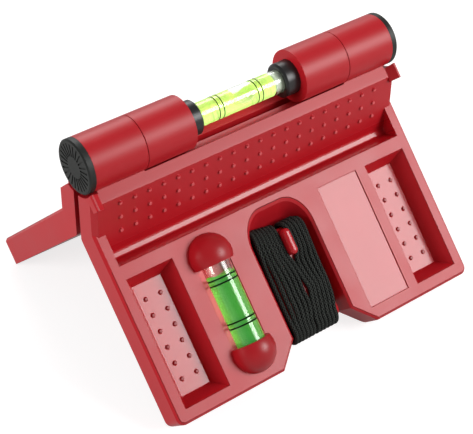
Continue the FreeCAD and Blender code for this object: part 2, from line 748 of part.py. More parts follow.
def fused(name, pieces):
    whole = doc.addObject("Part::MultiFuse", name)
    whole.Shapes = pieces
    return whole


def cut(name, base, tool):
    rest = doc.addObject("Part::Cut", name)
    rest.Base = base
    rest.Tool = tool
    return rest


def leaf_on_hinge(label, body, clear, knuckles, stops, bore):
    """Clear the barrel's room in a leaf, add its knuckles and stops, and bore it for the pins."""
    room = fused(label + "_barrel_room", clear)
    cleared = cut(label + "_cleared", body, room)
    joined = fused(label + "_joined", [cleared] + knuckles + stops)
    leaf = cut(label, joined, bore)
    leaf.Label = label
    return leaf


def make_front_leaf():
    body = new_body("front_leaf_moulding")
    leaf_block(body, front_sum)
    leaf_corners(body)
    leaf_trough(body, front_sum)
    front_slot(body)
    leaf_bevels(body, front_sum)
    front_post_hole(body)
    leaf_window(body)
    front_panel(body)
    leaf_pockets(body)
    front_lugs(body)
    wall_studs(body, front_sum)
    seat(body, front_place())
    inner = knuckle_seam + seam_gap * 0.5
    roomy = barrel_radius + barrel_clear
    airy = barrel_radius + barrel_end_clear
    clear = [
        barrel_piece("front_room_middle", roomy, -inner, inner),
        barrel_piece("front_room_west", airy, -(half_width + 1.0), -seat_end),
        barrel_piece("front_room_east", airy, seat_end, half_width + 1.0),
    ]
    knuckles = [
        barrel_piece("front_knuckle_west", barrel_radius, -knuckle_outer, -inner),
        barrel_piece("front_knuckle_east", barrel_radius, inner, knuckle_outer),
    ]
    stops = [
        stop_pad("front_stop_west", -stop_middle, True),
        stop_pad("front_stop_east", stop_middle, True),
    ]
    bore = barrel_piece("front_bore", pin_radius + pin_fit, -half_width, half_width)
    return leaf_on_hinge("front_leaf", body, clear, knuckles, stops, bore)


def make_rear_leaf():
    body = new_body("rear_leaf_moulding")
    leaf_block(body, rear_sum)
    leaf_corners(body)
    leaf_trough(body, rear_sum)
    rear_hook(body)
    leaf_bevels(body, rear_sum)
    rear_hook_post(body)
    leaf_window(body)
    leaf_pockets(body)
    rear_notches(body)
    wall_studs(body, rear_sum)
    seat(body, rear_place())
    outer = knuckle_seam - seam_gap * 0.5
    roomy = barrel_radius + barrel_clear
    airy = barrel_radius + barrel_end_clear
    clear = [
        barrel_piece("rear_room_middle", roomy, -knuckle_inner, knuckle_inner),
        barrel_piece("rear_room_west", roomy, -(half_width + 1.0), -outer),
        barrel_piece("rear_room_east", roomy, outer, half_width + 1.0),
        barrel_piece("rear_room_west_end", airy, -(half_width + 1.0), -seat_end),
        barrel_piece("rear_room_east_end", airy, seat_end, half_width + 1.0),
    ]
    knuckles = [
        barrel_piece("rear_knuckle_west", barrel_radius, -outer, -knuckle_inner),
        barrel_piece("rear_knuckle_east", barrel_radius, knuckle_inner, outer),
    ]
    stops = [
        stop_pad("rear_stop_west", -stop_middle, False),
        stop_pad("rear_stop_east", stop_middle, False),
    ]
    bore = barrel_piece("rear_bore", pin_radius + pin_fit, -half_width, half_width)
    return leaf_on_hinge("rear_leaf", body, clear, knuckles, stops, bore)


def turned(label, points):
    """A solid turned about the hinge axis from an outline of (along, radius) places."""
    body = new_body(label)
    sketch = new_sketch(body, label + "_section", "XZ_Plane")
    outline(sketch, points)
    turn = body.newObject("PartDesign::Revolution", label + "_turned")
    turn.Profile = sketch
    turn.ReferenceAxis = (sketch, ["H_Axis"])
    turn.Angle = 360.0
    body.Tip = turn
    doc.recompute()
    seat_on_pivot(body)
    return body


def make_hinge_pin(label, side):
    """Hollow pin through both knuckles, with a collar that holds one end of the hinge vial."""
    socket = tube_half + tube_play
    bore = tube_radius + vial_fit
    outer = knuckle_outer - pin_short
    return turned(label, [
        (pin_inner * side, bore),
        (socket * side, bore),
        (socket * side, pin_core),
        (outer * side, pin_core),
        (outer * side, pin_radius),
        ((pin_inner + pin_bevel) * side, pin_radius),
        (pin_inner * side, pin_radius - pin_bevel),
    ])


def make_end_cap(label, side):
    """Cap over the barrel's end, with a spigot in the pin and grooves across its face."""
    seat_face = knuckle_outer + cap_seat
    face = knuckle_outer + cap_thick
    tip = knuckle_outer - cap_spigot_length
    spigot = pin_core - cap_spigot_fit
    body = turned(label, [
        (tip * side, 0),
        (face * side, 0),
        (face * side, barrel_radius - cap_bevel),
        ((face - cap_bevel) * side, barrel_radius),
        (seat_face * side, barrel_radius),
        (seat_face * side, spigot),
        (tip * side, spigot),
    ])
    offset = face if side > 0 else -(face - rib_depth)
    sketch = new_sketch(body, label + "_groove_outline", "YZ_Plane", offset)
    box_outline(sketch, rib_width * -0.5, rib_width * 0.5, rib_inner, rib_outer)
    groove = pocket(body, label + "_groove", sketch, rib_depth)
    ring = body.newObject("PartDesign::PolarPattern", label + "_grooves")
    ring.Originals = [groove]
    ring.Axis = (sketch, ["N_Axis"])
    ring.Angle = 360.0
    ring.Occurrences = rib_count
    body.Tip = ring
    doc.recompute()
    return body


def make_hinge_vial():
    """Tube with one closed end, its liquid and its plug."""
    tube = turned("hinge_vial_tube", [
        (-tube_half, 0),
        (-tube_half, tube_radius),
        (tube_half, tube_radius),
        (tube_half, tube_bore),
        (vial_plug - tube_half, tube_bore),
        (vial_plug - tube_half, 0),
    ])
    liquid = turned("hinge_vial_liquid", [
        (vial_plug - tube_half + vial_fit, 0),
        (vial_plug - tube_half + vial_fit, tube_bore - vial_fit),
        (tube_half - vial_plug - vial_fit, tube_bore - vial_fit),
        (tube_half - vial_plug - vial_fit, 0),
    ])
    plug = turned("hinge_vial_plug", [
        (tube_half - vial_plug, 0),
        (tube_half - vial_plug, tube_bore - vial_fit),
        (tube_half, tube_bore - vial_fit),
        (tube_half, 0),
    ])
    return [tube, liquid, plug]


# ---------------------------------------------------------------- leaf vials

def rod_across(label, radius, start, length, place):
    """A round bar down the leaf on the vial's axis."""
    body = new_body(label)
    sketch = new_sketch(body, label + "_outline", "XZ_Plane", -start)
    round_outline(sketch, vial_middle, vial_rise, radius)
    pad(body, label + "_bar", sketch, length, back=True)
    seat(body, place)
    return body


def make_leaf_vial(prefix, place):
    """Tube with one closed end, its liquid and its plug."""
    bore = vial_radius - vial_wall
    tube = rod_across(prefix + "_vial_tube", vial_radius, vial_start, vial_length, place)
    sketch = new_sketch(tube, prefix + "_vial_bore_outline", "XZ_Plane",
                        -(vial_start + vial_length - vial_plug))
    round_outline(sketch, vial_middle, vial_rise, bore)
    pocket(tube, prefix + "_vial_bore", sketch, vial_length, back=True)
    liquid = rod_across(prefix + "_vial_liquid", bore - vial_fit,
                        vial_start + vial_plug + vial_fit,
                        vial_length - vial_plug * 2 - vial_fit * 2, place)
    plug = rod_across(prefix + "_vial_plug", bore - vial_fit, vial_start, vial_plug, place)
    return [tube, liquid, plug]


def make_vial_cap(label, centre, front, place):
    """Half ball on the outer face, cut flat toward the window and bored for the vial's end."""
    body = new_body(label)
    ball = body.newObject("PartDesign::AdditiveSphere", label + "_ball")
    ball.AttachmentSupport = (plane_of(body, "XY_Plane"), "")
    ball.MapMode = "FlatFace"
    bind(ball, "Radius", cap_radius)
    ball.Angle1 = 0.0
    ball.Angle2 = 90.0
    bind(ball, "AttachmentOffset.Base.x", vial_middle)
    bind(ball, "AttachmentOffset.Base.y", centre)
    bind(ball, "AttachmentOffset.Base.z", leaf_thick + vial_fit)
    body.Tip = ball
    doc.recompute()
    flat = centre + cap_flat * front
    far = centre + (cap_radius + 2.0) * front
    slab = new_sketch(body, label + "_flat_outline", "XY_Plane", leaf_thick + cap_radius + 2.0)
    outline(slab, [
        (vial_middle - cap_radius - 2.0, flat),
        (vial_middle + cap_radius + 2.0, flat),
        (vial_middle + cap_radius + 2.0, far),
        (vial_middle - cap_radius - 2.0, far),
    ])
    pocket(body, label + "_flat", slab, cap_radius + 4.0)
    seat_at = vial_start - vial_fit
    if front < 0:
        seat_at = vial_start + vial_length + vial_fit
    bore = new_sketch(body, label + "_bore_outline", "XZ_Plane", -seat_at)
    round_outline(bore, vial_middle, vial_rise, vial_radius + vial_fit)
    pocket(body, label + "_bore", bore, cap_radius * 3, back=(front < 0))
    seat(body, place)
    return body


# ---------------------------------------------------------------- winder and cord

def make_winder():
    """Flat plate in the slot on a post that stands through the web behind it."""
    body = new_body("cord_winder")
    sketch = new_sketch(body, "cord_winder_outline", "XY_Plane", winder_back)
    box_outline(sketch, -winder_half, winder_half, winder_start, winder_end)
    pad(body, "cord_winder_plate", sketch, winder_front - winder_back)
    half = winder_half.value
    low = winder_back.value
    high = winder_front.value
    soften(body, "Fillet", "cord_winder_corners",
           lambda p: near(abs(p.x), half)
           and (near(p.y, winder_start.value) or near(p.y, winder_end.value)), winder_round)
    soften(body, "Fillet", "cord_winder_edges",
           lambda p: near(p.z, low) or near(p.z, high), winder_lip)
    post = new_sketch(body, "cord_winder_post_outline", "XY_Plane", 0.3)
    pill_outline(post, -post_side, post_middle, post_width, post_length)
    pad(body, "cord_winder_post", post, post_top - 0.3)
    top = post_top.value
    soften(body, "Fillet", "cord_winder_post_top", lambda p: near(p.z, top), post_dome)
    seat(body, front_place())
    return body


def ring_section(body, name, first, last, low, high):
    """Section through the winding along the winder's plate."""
    sketch = new_sketch(body, name, "YZ_Plane")
    return box_outline(sketch, first, last, low, high)


def make_cord():
    """The cord's winding as one hollow cushion round the winder's plate."""
    body = new_body("elastic_cord")
    low = winder_back - cord_air
    high = winder_front + cord_air
    first = winder_start - cord_air
    last = winder_end + cord_air
    out_low = low - cord_thick
    out_high = high + cord_thick
    out_first = first - cord_thick
    out_last = last + cord_thick
    width = (slot_half - cord_side) * 2
    outside = ring_section(body, "elastic_cord_outside", out_first, out_last, out_low, out_high)
    pad(body, "elastic_cord_block", outside, width, both=True)
    soften(body, "Fillet", "elastic_cord_turns",
           lambda p: (near(p.y, out_first.value) or near(p.y, out_last.value))
           and (near(p.z, out_low.value) or near(p.z, out_high.value)),
           winder_lip + cord_air + cord_thick)
    inside = ring_section(body, "elastic_cord_inside", first, last, low, high)
    pocket(body, "elastic_cord_hollow", inside, width, both=True)
    soften(body, "Fillet", "elastic_cord_inner_turns",
           lambda p: (near(p.y, first.value) or near(p.y, last.value))
           and (near(p.z, low.value) or near(p.z, high.value)), winder_lip)
    hole = new_sketch(body, "elastic_cord_gap_outline", "XY_Plane", post_top)
    pill_outline(hole, -post_side, post_middle, post_width + cord_air * 2,
                 post_length + cord_air * 2)
    pocket(body, "elastic_cord_gap", hole, post_top + 1.0)
    edge = width.value / 2
    soften(body, "Chamfer", "elastic_cord_edges",
           lambda p: near(abs(p.x), edge) and (near(p.z, out_low.value)
           or near(p.z, out_high.value) or near(p.y, out_first.value)
           or near(p.y, out_last.value)), cord_edge)
    corners = new_sketch(body, "elastic_cord_corner_outlines", "XY_Plane", post_top)
    reach = slot_round - cord_corner
    outer = width * 0.5 + 1.0
    for side in (-1, 1):
        for end, inward in ((out_first, 1), (out_last, -1)):
            outline(corners, [
                ((outer - reach - 2.0) * side, end - inward),
                (outer * side, end - inward),
                (outer * side, end + (reach + 1.0) * inward),
            ])
    pocket(body, "elastic_cord_corners", corners, post_top + 1.0)
    seat(body, front_place())
    return body


# ---------------------------------------------------------------- the whole level

pieces = [make_front_leaf(), make_rear_leaf()]
pieces.append(make_hinge_pin("hinge_pin_left", -1))
pieces.append(make_hinge_pin("hinge_pin_right", 1))
pieces.append(make_end_cap("end_cap_left", -1))
pieces.append(make_end_cap("end_cap_right", 1))
pieces.extend(make_hinge_vial())
for prefix, place in (("front", front_place()), ("rear", rear_place())):
    pieces.extend(make_leaf_vial(prefix, place))
    pieces.append(make_vial_cap(prefix + "_vial_cap_upper", cap_upper, 1, place))
    pieces.append(make_vial_cap(prefix + "_vial_cap_lower", cap_lower, -1, place))
pieces.append(make_winder())
pieces.append(make_cord())

doc.recompute()

for thing in doc.Objects:
    if "Invalid" in thing.State or "Error" in thing.State:
        raise RuntimeError("failed: %s %s" % (thing.Label, thing.State))

os.makedirs("parts", exist_ok=True)
for piece in pieces:
    shape = piece.Shape
    if shape.isNull() or not shape.isValid():
        raise RuntimeError("bad shape: " + piece.Label)
    if len(shape.Solids) != 1:
        raise RuntimeError("%s has %d solids" % (piece.Label, len(shape.Solids)))
    shape.exportStep("parts/%s.step" % piece.Label)
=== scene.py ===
import math

import bmesh
import bpy
from mathutils import Matrix, Vector


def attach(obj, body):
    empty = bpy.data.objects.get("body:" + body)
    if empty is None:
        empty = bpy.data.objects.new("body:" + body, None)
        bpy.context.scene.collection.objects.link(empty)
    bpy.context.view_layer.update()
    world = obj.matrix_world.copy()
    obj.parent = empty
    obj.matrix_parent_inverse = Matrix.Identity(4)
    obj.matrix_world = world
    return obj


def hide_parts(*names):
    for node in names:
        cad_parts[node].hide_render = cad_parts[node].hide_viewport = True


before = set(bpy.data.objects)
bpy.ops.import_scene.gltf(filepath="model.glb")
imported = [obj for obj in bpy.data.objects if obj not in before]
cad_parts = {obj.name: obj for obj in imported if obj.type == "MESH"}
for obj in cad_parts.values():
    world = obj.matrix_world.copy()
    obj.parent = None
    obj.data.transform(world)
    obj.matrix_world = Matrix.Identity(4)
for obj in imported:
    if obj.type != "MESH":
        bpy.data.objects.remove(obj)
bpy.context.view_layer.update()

scene = bpy.context.scene
scene.view_settings.view_transform = "Standard"
MM = 0.001


# --- Camera -------------------------------------------------------------------
# A long lens, a little above the level and to its left, with a slight roll.
camera_data = bpy.data.cameras.new("camera")
camera_data.lens = 108.35
camera_data.sensor_width = 36.0
camera_data.clip_start = 0.05
camera_data.clip_end = 20.0
camera = bpy.data.objects.new("camera", camera_data)
scene.collection.objects.link(camera)
scene.camera = camera
camera_place = Vector((-0.3508, -0.4551, 0.5197))
camera_aim = Vector((-0.01782, -0.025, 0.0626))
camera_roll = 0.02
ahead = (camera_aim - camera_place).normalized()
level_right = ahead.cross(Vector((0, 0, 1))).normalized()
level_up = level_right.cross(ahead)
right = math.cos(camera_roll) * level_right + math.sin(camera_roll) * level_up
up = right.cross(ahead)
camera.matrix_world = Matrix((
    (right.x, up.x, -ahead.x, camera_place.x),
    (right.y, up.y, -ahead.y, camera_place.y),
    (right.z, up.z, -ahead.z, camera_place.z),
    (0, 0, 0, 1)))


# --- Elastic cord ---------------------------------------------------------------
# A braided elastic cord, 2.4 mm thick, wound twelve times round the flat winder in
# the front leaf's slot, where the winder's post parts its turns. Both its ends turn
# in behind the winding and run into the web, and 0.2 mm past its inner face.
CORNER_HEIGHT = 72.357   # the leaves' inner corner above the table, in millimetres
CORD_THICK = 2.4
CORD_LENGTH = 1.55
WINDER_MIDDLE = 9.0      # middle of the winder's thickness, above the inner face
TURN_RADIUS = 5.45       # cord's line round the winder's two ends
TURN_FOOT = 94.3         # lowest line of the turns
SIDE_ROUND = 10.3        # where the winder's rounded sides begin
BEHIND = WINDER_MIDDLE - TURN_RADIUS  # the cord's line at the winder's back
LEFT_SIDE = 15.0         # how far left of the middle the loosest turns lie
TOP_LEFT = 34.5          # upper line of the turns there, down the leaf
TOP_SLOPE = 0.15         # how far that line drops for each millimetre to the right
TOP_LOWEST = 37.0        # and the lowest that it comes
CORNER_START = 10.0      # where the winder's upper right corner starts to turn
CORNER_ROUND = 6.0
END_DROP = 0.4           # most that a turn sinks at the winder's ends
RIDE_DOWN = 51.0         # where some turns ride up on their neighbours
RIDE_SPREAD = 7.0
SINK_START = 44.0        # between these, turns sink at the winder's sides
SINK_END = 90.0
SINK_EASE = 10.0
BACK_FOOT = 84.0         # behind the winder, each turn climbs from here
BACK_RISE = 35.0
BACK_SHARES = (0.08, 0.5, 0.92)
GUIDES = (0, 5, 6, 7, 11)  # the turns whose places are given; the rest lie evenly between
# Down the leaf, and where the guide turns lie there along the hinge. The post parts the
# seventh turn from the eighth, and a slit further down the sixth from the seventh.
STATIONS = (
    (49.0, (-15.7, -5.5, -3.4, 4.1, 13.4)),
    (53.0, (-15.7, -5.3, -3.0, 3.6, 13.3)),
    (56.5, (-15.7, -4.0, -1.4, 1.4, 12.9)),
    (62.0, (-15.7, -2.9, -0.5, 1.8, 12.6)),
    (67.0, (-15.8, -2.5, 0.3, 2.6, 12.6)),
    (72.0, (-15.8, -3.0, 1.9, 4.0, 12.7)),
    (77.0, (-15.9, -2.4, 0.3, 2.6, 12.2)),
    (82.0, (-16.1, -3.3, -0.9, 1.4, 11.3)))
OVER_TOP = (-13.6, -3.4, -1.3, 2.4, 13.0)
UNDER_FOOT = (-16.3, -5.5, -2.6, -0.3, 9.3)
RIDES_UP = (0.0, 0.5, 0.0, 0.7, 0.1, 0.6, 0.0, 0.0, 0.2, 0.0, 0.2, 0.0)


def on_front_leaf(across, down, out):
    """A point of the front leaf, from millimetres along the hinge, down and out."""
    slant = math.sqrt(2)
    return Vector((across, -(down + out) / slant,
                   CORNER_HEIGHT + (out - down) / slant)) * MM


def turn_places(guide_places):
    """Where each turn lies along the hinge, between the guide turns."""
    places = []
    for number in range(GUIDES[-1] + 1):
        after = next(k for k in range(1, len(GUIDES)) if number <= GUIDES[k])
        share = (number - GUIDES[after - 1]) / (GUIDES[after] - GUIDES[after - 1])
        places.append(guide_places[after - 1] * (1 - share) + guide_places[after] * share)
    return places


def side_drop(across, most):
    """How far a strand sinks where the winder's sides are rounded."""
    past = min(max(abs(across) - SIDE_ROUND, 0.0), TURN_RADIUS)
    return min(TURN_RADIUS - math.sqrt(TURN_RADIUS ** 2 - past ** 2), most)


def highest_line(across):
    """Upper end of a turn: loose at the left, tight over the winder's corner at the right."""
    corner = max(across - CORNER_START, 0.0)
    return (min(TOP_LEFT + TOP_SLOPE * (across + LEFT_SIDE), TOP_LOWEST)
            + CORNER_ROUND - math.sqrt(CORNER_ROUND ** 2 - corner ** 2))


def end_turn(centre, radius, way):
    """Half a turn round one end of the winder: down, out, and how far it still faces out."""
    step = math.radians(30)
    lead = radius * math.tan(step / 2)
    reach = radius / math.cos(step / 2)
    yield centre - way * lead, WINDER_MIDDLE + radius, 1.0
    for number in range(6):
        turned = step * (number + 0.5)
        yield (centre + way * reach * math.sin(turned),
               WINDER_MIDDLE + reach * math.cos(turned), (1 + math.cos(turned)) / 2)
    yield centre - way * lead, WINDER_MIDDLE - radius, 0.0


tops = turn_places(OVER_TOP)
feet = turn_places(UNDER_FOOT)
fronts = [(down, turn_places(guide_places)) for down, guide_places in STATIONS]
line = [(12.4, 70.0, 1.0), (12.6, 64.0, 2.1), (12.9, 54.0, BEHIND)]
for turn in reversed(range(len(tops))):
    top, foot = tops[turn], feet[turn]
    radius = TURN_RADIUS - side_drop(top, END_DROP)
    over = list(end_turn(highest_line(top) + radius, radius, -1))
    for down, out, facing in reversed(over):
        line.append((top + (fronts[0][1][turn] - top) * facing, down, out))
    for down, places in fronts:
        ride_up = RIDES_UP[turn] * math.exp(-((down - RIDE_DOWN) / RIDE_SPREAD) ** 2)
        most = CORD_THICK * min(1.0, (down - SINK_START) / SINK_EASE,
                                (SINK_END - down) / SINK_EASE)
        line.append((places[turn], down, WINDER_MIDDLE + TURN_RADIUS
                     - side_drop(places[turn], most) + ride_up))
    radius = TURN_RADIUS - side_drop(foot, END_DROP)
    for down, out, facing in end_turn(TURN_FOOT - radius, radius, 1):
        line.append((foot, down, out))
    if turn > 0:
        for share in BACK_SHARES:
            line.append((foot + (tops[turn - 1] - foot) * share,
                         BACK_FOOT - BACK_RISE * share, BEHIND))
line += [(-16.9, 79.0, BEHIND), (-17.0, 70.0, 2.1), (-17.0, 64.0, 1.0)]

cord_curve = bpy.data.curves.new("wound_cord", "CURVE")
cord_curve.dimensions = "3D"
# Each point carries the cord's own radius, and the bevel is 1, because Blender grows a
# curve's box by its points' radii.
cord_spline = cord_curve.splines.new("NURBS")
cord_spline.points.add(len(line) - 1)
for point, place in zip(cord_spline.points, line):
    point.co = (*on_front_leaf(*place), 1.0)
    point.radius = CORD_THICK * MM / 2
cord_spline.order_u = 3
cord_spline.use_endpoint_u = True
cord_spline.resolution_u = 5
cord_curve.bevel_depth = 1.0
cord_curve.bevel_resolution = 4
cord_curve.use_fill_caps = True
wound_cord = bpy.data.objects.new("wound_cord", cord_curve)
scene.collection.objects.link(wound_cord)
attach(wound_cord, "front")
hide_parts("elastic_cord")


def new_material(name):
    material = bpy.data.materials.new(name)
    material.use_nodes = True
    nodes = material.node_tree.nodes
    return material, nodes, material.node_tree.links, nodes["Principled BSDF"]


def set_inputs(node, **values):
    """Set a node's inputs by name, with _ for a space."""
    for name, value in values.items():
        node.inputs[name.replace("_", " ")].default_value = value


def add_node(nodes, kind, **settings):
    """A shader node, with its properties and its inputs set by name."""
    node = nodes.new(kind)
    for name, value in settings.items():
        if hasattr(node, name):
            setattr(node, name, value)
        else:
            set_inputs(node, **{name: value})
    return node


def blend(nodes, links, factor, low, high):
    """Mix two colours by a mask. Each is a colour or another node's socket."""
    mix = add_node(nodes, "ShaderNodeMix", data_type="RGBA")
    links.new(factor, mix.inputs["Factor"])
    for slot, colour in (("A", low), ("B", high)):
        if isinstance(colour, tuple):
            mix.inputs[slot].default_value = (*colour, 1)
        else:
            links.new(colour, mix.inputs[slot])
    return mix.outputs["Result"]


# Braid: two sets of ribs crossing round the cord, on the tube's own UV map.
cord_cloth, nodes, links, shader = new_material("braided_elastic")
uv = add_node(nodes, "ShaderNodeTexCoord")
split = add_node(nodes, "ShaderNodeSeparateXYZ")
links.new(uv.outputs["UV"], split.inputs[0])
RIB_PITCH = 0.0017       # metres of cord for each rib
RIBS_ROUND = 5.0
ribs_along = CORD_LENGTH / RIB_PITCH
heights = []
for way in (1.0, -1.0):
    along = add_node(nodes, "ShaderNodeMath", operation="MULTIPLY")
    along.inputs[1].default_value = ribs_along * way
    links.new(split.outputs["X"], along.inputs[0])
    round_it = add_node(nodes, "ShaderNodeMath", operation="MULTIPLY_ADD")
    round_it.inputs[1].default_value = RIBS_ROUND
    links.new(split.outputs["Y"], round_it.inputs[0])
    links.new(along.outputs[0], round_it.inputs[2])
    turn_it = add_node(nodes, "ShaderNodeMath", operation="MULTIPLY")
    turn_it.inputs[1].default_value = 2 * math.pi
    links.new(round_it.outputs[0], turn_it.inputs[0])
    wave = add_node(nodes, "ShaderNodeMath", operation="SINE")
    links.new(turn_it.outputs[0], wave.inputs[0])
    heights.append(wave)
braid = add_node(nodes, "ShaderNodeMath", operation="MAXIMUM")
links.new(heights[0].outputs[0], braid.inputs[0])
links.new(heights[1].outputs[0], braid.inputs[1])
# Painted shade: the grooves between the ribs are coloured darker than their crests.
shade = add_node(nodes, "ShaderNodeMapRange", From_Min=0.1)
links.new(braid.outputs[0], shade.inputs["Value"])
braid_painted_shade = blend(nodes, links, shade.outputs["Result"],
             (0.002, 0.0022, 0.002), (0.055, 0.060, 0.054))
links.new(braid_painted_shade, shader.inputs["Base Color"])
bump = add_node(nodes, "ShaderNodeBump", Strength=0.8, Distance=0.0003)
links.new(braid.outputs[0], bump.inputs["Height"])
links.new(bump.outputs["Normal"], shader.inputs["Normal"])
set_inputs(shader, Roughness=0.75, Sheen_Weight=0.03, Sheen_Roughness=0.4,
           Specular_IOR_Level=0.12)
cord_curve.materials.append(cord_cloth)


# --- Leaves, vial caps and winder --------------------------------------------------
# Two injection-moulded leaves in red polypropylene-like plastic, each with its
# barrel knuckles, wall, ledge, pockets and window in one moulding. The vial caps
# and the winder are separate mouldings pressed into them.
FRONT_WALL = 20.65   # where each studded wall would meet its leaf's inner face
REAR_WALL = 23.76
# In millimetres on a leaf: across is along the hinge, aside is across to either side.
PANEL_ACROSS = (29.8, 54.8)
PANEL_DOWN = (29.2, 95.8)
POCKETS_ASIDE = (61.4, 87.8)
POCKETS_DOWN = (29.0, 96.7)
POCKET_FLOORS = (-1.0, 6.0)
STUDS_ASIDE = (67.5, 81.5)   # the pocket studs
STUDS_DOWN = (37.0, 89.0)
STUD_SLOPES = (6.02, 6.5)
STUD_TIPS = (6.5, 7.2)
WALL_TIPS = (0.85, 2.0)      # how far the wall studs' tips stand off the wall


def dress(material, *names):
    for name in names:
        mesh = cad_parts[name].data
        mesh.materials.clear()
        mesh.materials.append(material)


grain_group = bpy.data.node_groups.new("mould_grain", "ShaderNodeTree")
face = grain_group.interface
for socket, kind, value in (("Grain Size", "NodeSocketFloat", 900.0),
                            ("Cloud Size", "NodeSocketFloat", 40.0)):
    face.new_socket(socket, in_out="INPUT", socket_type=kind).default_value = value
face.new_socket("Grain", in_out="OUTPUT", socket_type="NodeSocketFloat")
face.new_socket("Clouds", in_out="OUTPUT", socket_type="NodeSocketFloat")
nodes, links = grain_group.nodes, grain_group.links
inside = nodes.new("NodeGroupInput")
outside = nodes.new("NodeGroupOutput")
place = nodes.new("ShaderNodeTexCoord")
for socket, label, detail in (("Grain Size", "Grain", 3.0), ("Cloud Size", "Clouds", 4.0)):
    noise = add_node(nodes, "ShaderNodeTexNoise", Detail=detail)
    links.new(place.outputs["Object"], noise.inputs["Vector"])
    links.new(inside.outputs[socket], noise.inputs["Scale"])
    links.new(noise.outputs["Fac"], outside.inputs[label])


def mould_grain(nodes, **sizes):
    """The grain and clouds that all the plastics share, at this one's sizes."""
    grain = nodes.new("ShaderNodeGroup")
    grain.node_tree = grain_group
    set_inputs(grain, **sizes)
    return grain


def moulded_plastic(name, dark, light, smooth, rough, specular, grain_depth, grain_size):
    """Grained plastic, cloudy between two colours and between two roughnesses."""
    material, nodes, links, shader = new_material(name)
    grain = mould_grain(nodes, Grain_Size=grain_size)
    colour = blend(nodes, links, grain.outputs["Clouds"], dark, light)
    links.new(colour, shader.inputs["Base Color"])
    gloss = add_node(nodes, "ShaderNodeMapRange",
                     From_Min=0.3, From_Max=0.7, To_Min=smooth, To_Max=rough)
    links.new(grain.outputs["Clouds"], gloss.inputs["Value"])
    links.new(gloss.outputs["Result"], shader.inputs["Roughness"])
    bump = add_node(nodes, "ShaderNodeBump", Strength=0.35, Distance=grain_depth)
    links.new(grain.outputs["Grain"], bump.inputs["Height"])
    links.new(bump.outputs["Normal"], shader.inputs["Normal"])
    set_inputs(shader, Specular_IOR_Level=specular)
    return material, nodes, links, shader, bump, gloss, colour


def between(nodes, links, value, low, high, soft):
    """A mask that is 1 where the value lies between two limits, with soft borders."""
    rise = add_node(nodes, "ShaderNodeMapRange", From_Min=low - soft, From_Max=low + soft)
    fall = add_node(nodes, "ShaderNodeMapRange", From_Min=high + soft, From_Max=high - soft)
    both = add_node(nodes, "ShaderNodeMath", operation="MULTIPLY")
    for number, ramp in enumerate((rise, fall)):
        links.new(value, ramp.inputs["Value"])
        links.new(ramp.outputs["Result"], both.inputs[number])
    return both.outputs[0]


def combine(nodes, links, operation, *values):
    """Join masks, two at a time."""
    joined = values[0]
    for value in values[1:]:
        step = add_node(nodes, "ShaderNodeMath", operation=operation)
        links.new(joined, step.inputs[0])
        links.new(value, step.inputs[1])
        joined = step.outputs[0]
    return joined


def region(nodes, links, *bounds):
    """A mask for part of a leaf: each bound is a value, its two limits and its softness."""
    return combine(nodes, links, "MULTIPLY",
                   *(between(nodes, links, *bound) for bound in bounds))


leaf_red, nodes, links, shader, bump, gloss, colour = moulded_plastic(
    "leaf_red", (0.46, 0.008, 0.014), (0.53, 0.012, 0.020), 0.33, 0.40, 0.42, 0.00005, 1400.0)
dress(leaf_red, "front_leaf", "rear_leaf")
# Where a point lies on its leaf: along the hinge, down the leaf and out from the inner face.
place = nodes.new("ShaderNodeTexCoord")
split = nodes.new("ShaderNodeSeparateXYZ")
links.new(place.outputs["Object"], split.inputs[0])
sidewards = add_node(nodes, "ShaderNodeMath", operation="ABSOLUTE")
links.new(split.outputs["Y"], sidewards.inputs[0])
below = add_node(nodes, "ShaderNodeMath", operation="SUBTRACT")
below.inputs[0].default_value = CORNER_HEIGHT * MM
links.new(split.outputs["Z"], below.inputs[1])
leaf_place = {}
for label, operation in (("down", "ADD"), ("out", "SUBTRACT")):
    sum_up = add_node(nodes, "ShaderNodeMath", operation=operation)
    links.new(sidewards.outputs[0], sum_up.inputs[0])
    links.new(below.outputs[0], sum_up.inputs[1])
    in_mm = add_node(nodes, "ShaderNodeMath", operation="MULTIPLY")
    in_mm.inputs[1].default_value = math.sqrt(0.5) / MM
    links.new(sum_up.outputs[0], in_mm.inputs[0])
    leaf_place[label] = in_mm.outputs[0]
facing = add_node(nodes, "ShaderNodeMath", operation="SIGN")
links.new(split.outputs["Y"], facing.inputs[0])
mirrored = combine(nodes, links, "MULTIPLY", split.outputs["X"], facing.outputs[0])
across = add_node(nodes, "ShaderNodeMath", operation="MULTIPLY")
across.inputs[1].default_value = -1 / MM
links.new(mirrored, across.inputs[0])
aside = add_node(nodes, "ShaderNodeMath", operation="ABSOLUTE")
links.new(across.outputs[0], aside.inputs[0])
half_way = add_node(nodes, "ShaderNodeMath", operation="MULTIPLY_ADD")
half_way.inputs[1].default_value = (FRONT_WALL - REAR_WALL) / 2
half_way.inputs[2].default_value = -(FRONT_WALL + REAR_WALL) / 2
links.new(facing.outputs[0], half_way.inputs[0])
past_wall = combine(nodes, links, "ADD", leaf_place["down"], half_way.outputs[0])
off_wall = combine(nodes, links, "ADD", past_wall, leaf_place["out"])
# The trough under the wall is hollow-ground: its floor curves up again before its near side.
trough = region(nodes, links,
                (past_wall, -9.0, 1.3, 0.1),
                (leaf_place["out"], 3.0, 20.0, 0.5),
                (aside.outputs[0], -1.0, 88.2, 0.1))
curl = add_node(nodes, "ShaderNodeMapRange", From_Min=-3.2, From_Max=-2.2)
links.new(past_wall, curl.inputs["Value"])
rising = combine(nodes, links, "MULTIPLY",
                 trough, curl.outputs["Result"], curl.outputs["Result"])
hollow = add_node(nodes, "ShaderNodeBump", Distance=0.0005)
links.new(rising, hollow.inputs["Height"])
links.new(hollow.outputs["Normal"], bump.inputs["Normal"])
